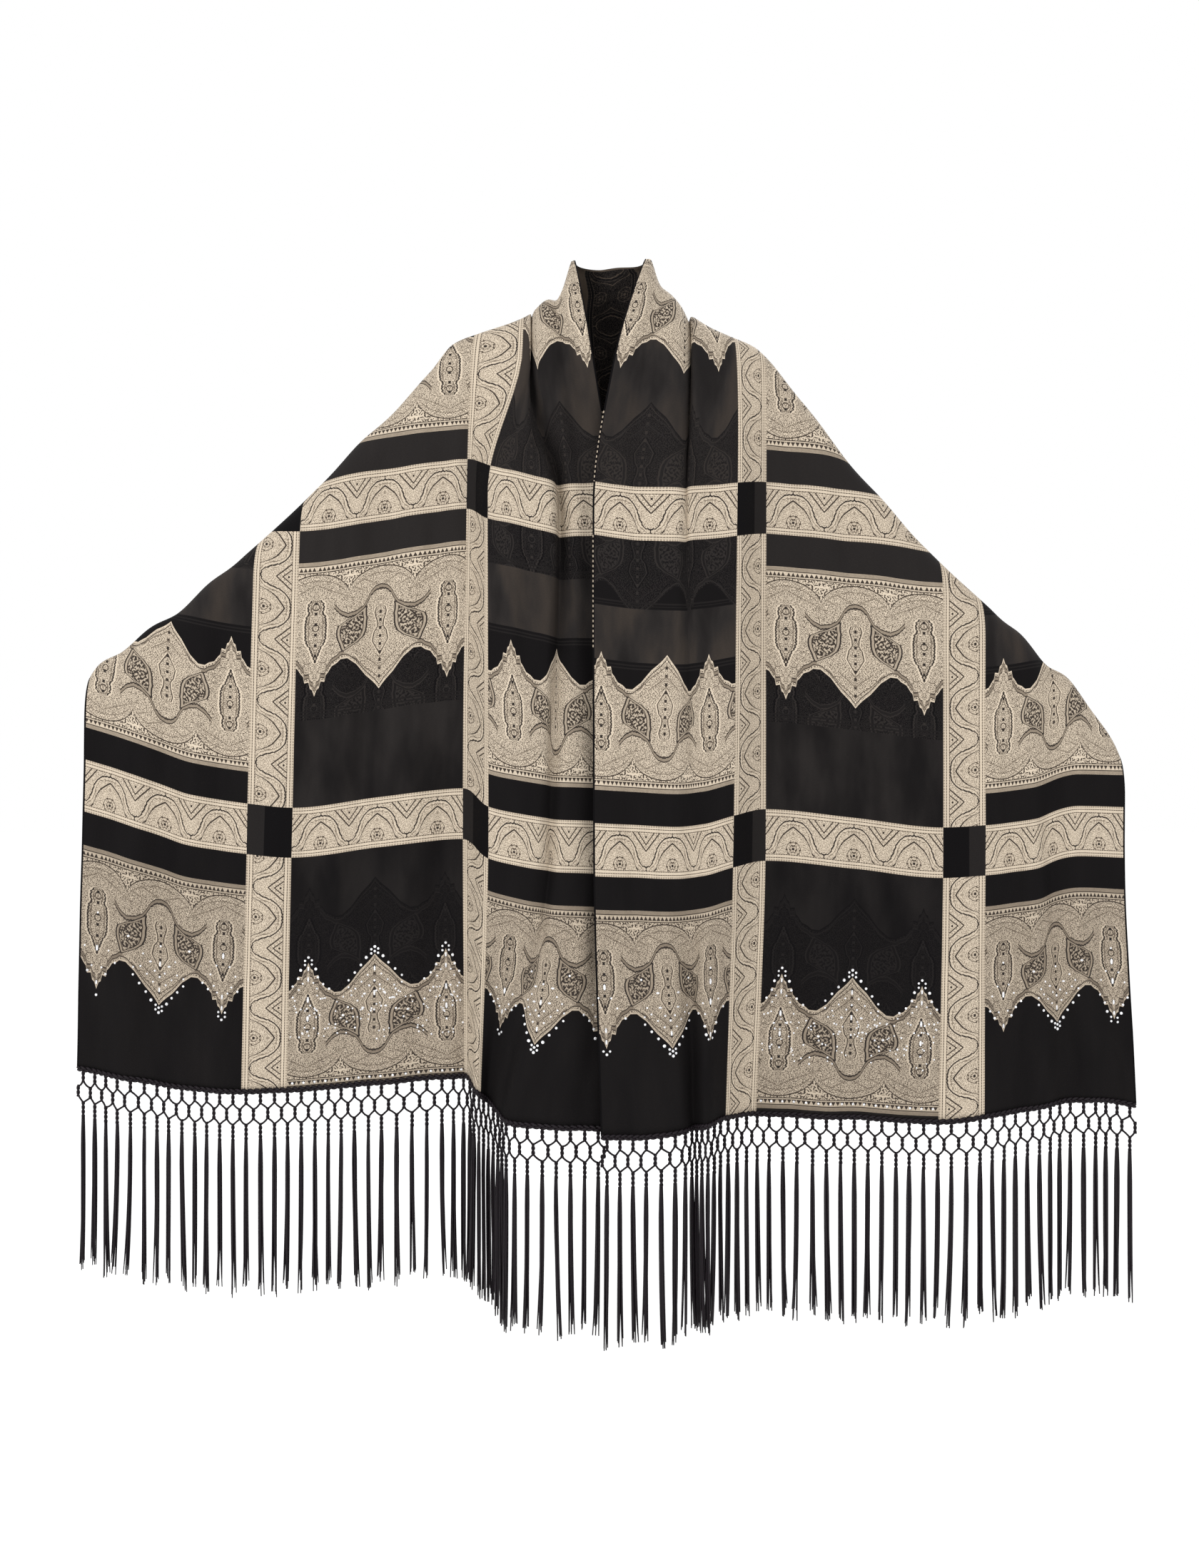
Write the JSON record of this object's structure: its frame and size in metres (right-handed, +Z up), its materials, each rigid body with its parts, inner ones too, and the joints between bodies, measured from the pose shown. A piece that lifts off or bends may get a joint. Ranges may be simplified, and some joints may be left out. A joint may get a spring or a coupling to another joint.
{
  "type": "fringed wrap",
  "caption": "Long rectangular wrap of patterned cloth worn as a cape over neck and outstretched arms, both hems with a knotted net and a long fringe.",
  "frame": {"origin": "base of the neck that carries the wrap, on the middle plane between the shoulders", "axes": "+Z up, -Y towards the front panels, +X towards the wrap's side that lies on the viewer's right"},
  "size_m": [1.3334, 0.2129, 1.352],
  "materials": {
    "front_cloth": "woven, soft sheen",
    "back_cloth": "woven, soft sheen",
    "fringe_silk": "twisted cord, soft sheen"
  },
  "bodies": {
    "root": {"front_left": "front_cloth", "front_right": "front_cloth", "back": "back_cloth", "fringe_left": "fringe_silk", "fringe_right": "fringe_silk"}
  },
  "joints": []
}
